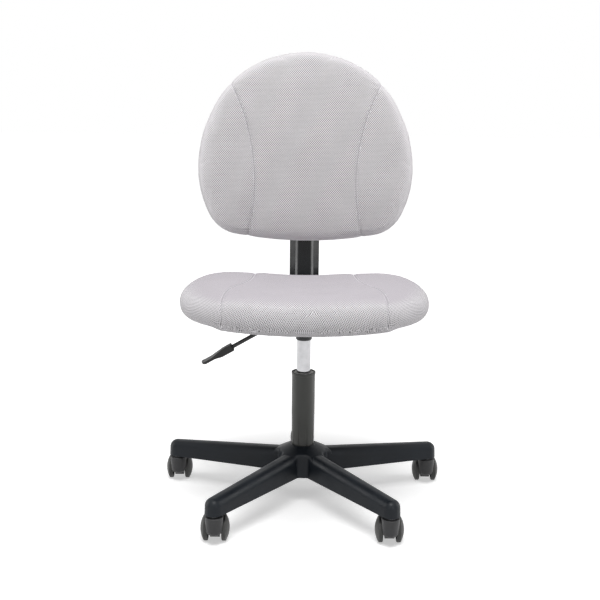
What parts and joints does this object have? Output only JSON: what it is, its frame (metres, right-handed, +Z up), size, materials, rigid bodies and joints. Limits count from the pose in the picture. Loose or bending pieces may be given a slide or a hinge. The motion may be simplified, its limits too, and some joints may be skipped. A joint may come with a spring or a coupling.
{
  "type": "office chair",
  "caption": "Armless task chair with padded fabric seat and back, a gas lift worked by a lever under the seat, and a swivelling star base on twin-wheel casters.",
  "frame": {"origin": "on the floor, on the axis of the gas lift", "axes": "+Z up along the gas lift, the sitter faces -Y, +X to the sitter's left"},
  "size_m": [0.588, 0.5733, 0.9078],
  "materials": {
    "base_plastic": "moulded black nylon, fine satin grain",
    "pipe_paint": "black powder coat, satin",
    "sleeve_plastic": "white bearing plastic",
    "bright_steel": "ground bright steel",
    "alloy": "turned aluminium",
    "stop_rubber": "black rubber",
    "chrome_tube": "chromed steel tube",
    "plate_paint": "black stove enamel",
    "lever_paint": "black enamelled rod",
    "paddle_plastic": "moulded black plastic",
    "board_wood": "bent plywood",
    "under_fabric": "black non-woven dust cloth",
    "seat_fabric": "light grey spacer mesh fabric",
    "back_fabric": "light grey spacer mesh fabric",
    "zinc_steel": "zinc plated steel",
    "black_fasteners": "blackened steel",
    "bar_paint": "glossy black enamel",
    "cover_plastic": "moulded black plastic, fine grain",
    "caster_plastic": "moulded black nylon",
    "stem_steel": "ground bright steel",
    "wheel_plastic": "moulded black nylon, slight gloss"
  },
  "bodies": {
    "base": {"star_base": "base_plastic", "standpipe": "pipe_paint", "guide_sleeve": "sleeve_plastic", "lower_race": "bright_steel"},
    "rod": {"piston_rod": "bright_steel", "piston_head": "alloy", "upper_race": "bright_steel", "thrust_bearing": "bright_steel", "bump_stop": "stop_rubber", "rod_clip": "bright_steel"},
    "seat": {"pressure_tube": "chrome_tube", "tube_plug": "bright_steel", "valve_block": "alloy", "taper_socket": "plate_paint", "seat_plate": "plate_paint", "lever_bracket": "plate_paint", "pivot_pin": "bright_steel", "seat_board": "board_wood", "under_cloth": "under_fabric", "seat_cushion": "seat_fabric", "seat_tee_nuts": "zinc_steel", "seat_bolts": "black_fasteners", "back_bar": "bar_paint", "bar_bolts": "black_fasteners", "bar_nuts": "zinc_steel", "back_board": "board_wood", "back_cushion": "back_fabric", "back_tee_nuts": "zinc_steel", "back_bolts": "black_fasteners", "back_cover": "cover_plastic", "cover_screws": "black_fasteners"},
    "lever": {"lever_rod": "lever_paint", "lever_paddle": "paddle_plastic"},
    "valve": {"release_pin": "bright_steel"},
    "caster_right": {"caster_body_right": "caster_plastic", "caster_stem_right": "stem_steel", "caster_axle_right": "stem_steel"},
    "wheel_left_right": {"wheel_left_right": "wheel_plastic"},
    "wheel_right_right": {"wheel_right_right": "wheel_plastic"},
    "caster_rear": {"caster_body_rear": "caster_plastic", "caster_stem_rear": "stem_steel", "caster_axle_rear": "stem_steel"},
    "wheel_left_rear": {"wheel_left_rear": "wheel_plastic"},
    "wheel_right_rear": {"wheel_right_rear": "wheel_plastic"},
    "caster_left": {"caster_body_left": "caster_plastic", "caster_stem_left": "stem_steel", "caster_axle_left": "stem_steel"},
    "wheel_left_left": {"wheel_left_left": "wheel_plastic"},
    "wheel_right_left": {"wheel_right_left": "wheel_plastic"},
    "caster_front_left": {"caster_body_front_left": "caster_plastic", "caster_stem_front_left": "stem_steel", "caster_axle_front_left": "stem_steel"},
    "wheel_left_front_left": {"wheel_left_front_left": "wheel_plastic"},
    "wheel_right_front_left": {"wheel_right_front_left": "wheel_plastic"},
    "caster_front_right": {"caster_body_front_right": "caster_plastic", "caster_stem_front_right": "stem_steel", "caster_axle_front_right": "stem_steel"},
    "wheel_left_front_right": {"wheel_left_front_right": "wheel_plastic"},
    "wheel_right_front_right": {"wheel_right_front_right": "wheel_plastic"}
  },
  "joints": [
    {"name": "column_swivel", "type": "hinge", "parent": "base", "child": "rod", "pos_m": [0, 0, 0.07], "axis": [0, 0, 1], "continuous": true},
    {"name": "seat_height", "type": "slide", "parent": "rod", "child": "seat", "axis": [0, 0, 1], "range_m": [-0.054, 0.046]},
    {"name": "lever_lift", "type": "hinge", "parent": "seat", "child": "lever", "pos_m": [-0.036, 0, 0.3858], "axis": [0, 1, 0], "range_deg": [0, 5.5]},
    {"name": "valve_press", "type": "slide", "parent": "seat", "child": "valve", "axis": [0, 0, -1], "range_m": [0, 0.0035]},
    {"name": "caster_swivel_right", "type": "hinge", "parent": "base", "child": "caster_right", "pos_m": [0.2663, 0.08653, 0.075], "axis": [0, 0, 1], "continuous": true},
    {"name": "wheel_left_right_spin", "type": "hinge", "parent": "caster_right", "child": "wheel_left_right", "pos_m": [0.2663, 0.11052, 0.025], "axis": [1, 0, 0], "continuous": true},
    {"name": "wheel_right_right_spin", "type": "hinge", "parent": "caster_right", "child": "wheel_right_right", "pos_m": [0.2663, 0.11052, 0.025], "axis": [1, 0, 0], "continuous": true},
    {"name": "caster_swivel_rear", "type": "hinge", "parent": "base", "child": "caster_rear", "pos_m": [0, 0.28, 0.075], "axis": [0, 0, 1], "continuous": true},
    {"name": "wheel_left_rear_spin", "type": "hinge", "parent": "caster_rear", "child": "wheel_left_rear", "pos_m": [0, 0.304, 0.025], "axis": [1, 0, 0], "continuous": true},
    {"name": "wheel_right_rear_spin", "type": "hinge", "parent": "caster_rear", "child": "wheel_right_rear", "pos_m": [0, 0.304, 0.025], "axis": [1, 0, 0], "continuous": true},
    {"name": "caster_swivel_left", "type": "hinge", "parent": "base", "child": "caster_left", "pos_m": [-0.2663, 0.08653, 0.075], "axis": [0, 0, 1], "continuous": true},
    {"name": "wheel_left_left_spin", "type": "hinge", "parent": "caster_left", "child": "wheel_left_left", "pos_m": [-0.2663, 0.11052, 0.025], "axis": [1, 0, 0], "continuous": true},
    {"name": "wheel_right_left_spin", "type": "hinge", "parent": "caster_left", "child": "wheel_right_left", "pos_m": [-0.2663, 0.11052, 0.025], "axis": [1, 0, 0], "continuous": true},
    {"name": "caster_swivel_front_left", "type": "hinge", "parent": "base", "child": "caster_front_left", "pos_m": [-0.16458, -0.22653, 0.075], "axis": [0, 0, 1], "continuous": true},
    {"name": "wheel_left_front_left_spin", "type": "hinge", "parent": "caster_front_left", "child": "wheel_left_front_left", "pos_m": [-0.16458, -0.20253, 0.025], "axis": [1, 0, 0], "continuous": true},
    {"name": "wheel_right_front_left_spin", "type": "hinge", "parent": "caster_front_left", "child": "wheel_right_front_left", "pos_m": [-0.16458, -0.20253, 0.025], "axis": [1, 0, 0], "continuous": true},
    {"name": "caster_swivel_front_right", "type": "hinge", "parent": "base", "child": "caster_front_right", "pos_m": [0.16458, -0.22653, 0.075], "axis": [0, 0, 1], "continuous": true},
    {"name": "wheel_left_front_right_spin", "type": "hinge", "parent": "caster_front_right", "child": "wheel_left_front_right", "pos_m": [0.16458, -0.20253, 0.025], "axis": [1, 0, 0], "continuous": true},
    {"name": "wheel_right_front_right_spin", "type": "hinge", "parent": "caster_front_right", "child": "wheel_right_front_right", "pos_m": [0.16458, -0.20253, 0.025], "axis": [1, 0, 0], "continuous": true}
  ],
  "couplings": [
    {"joint": "valve_press", "follows": "lever_lift", "m_per_rad": 0.036}
  ]
}
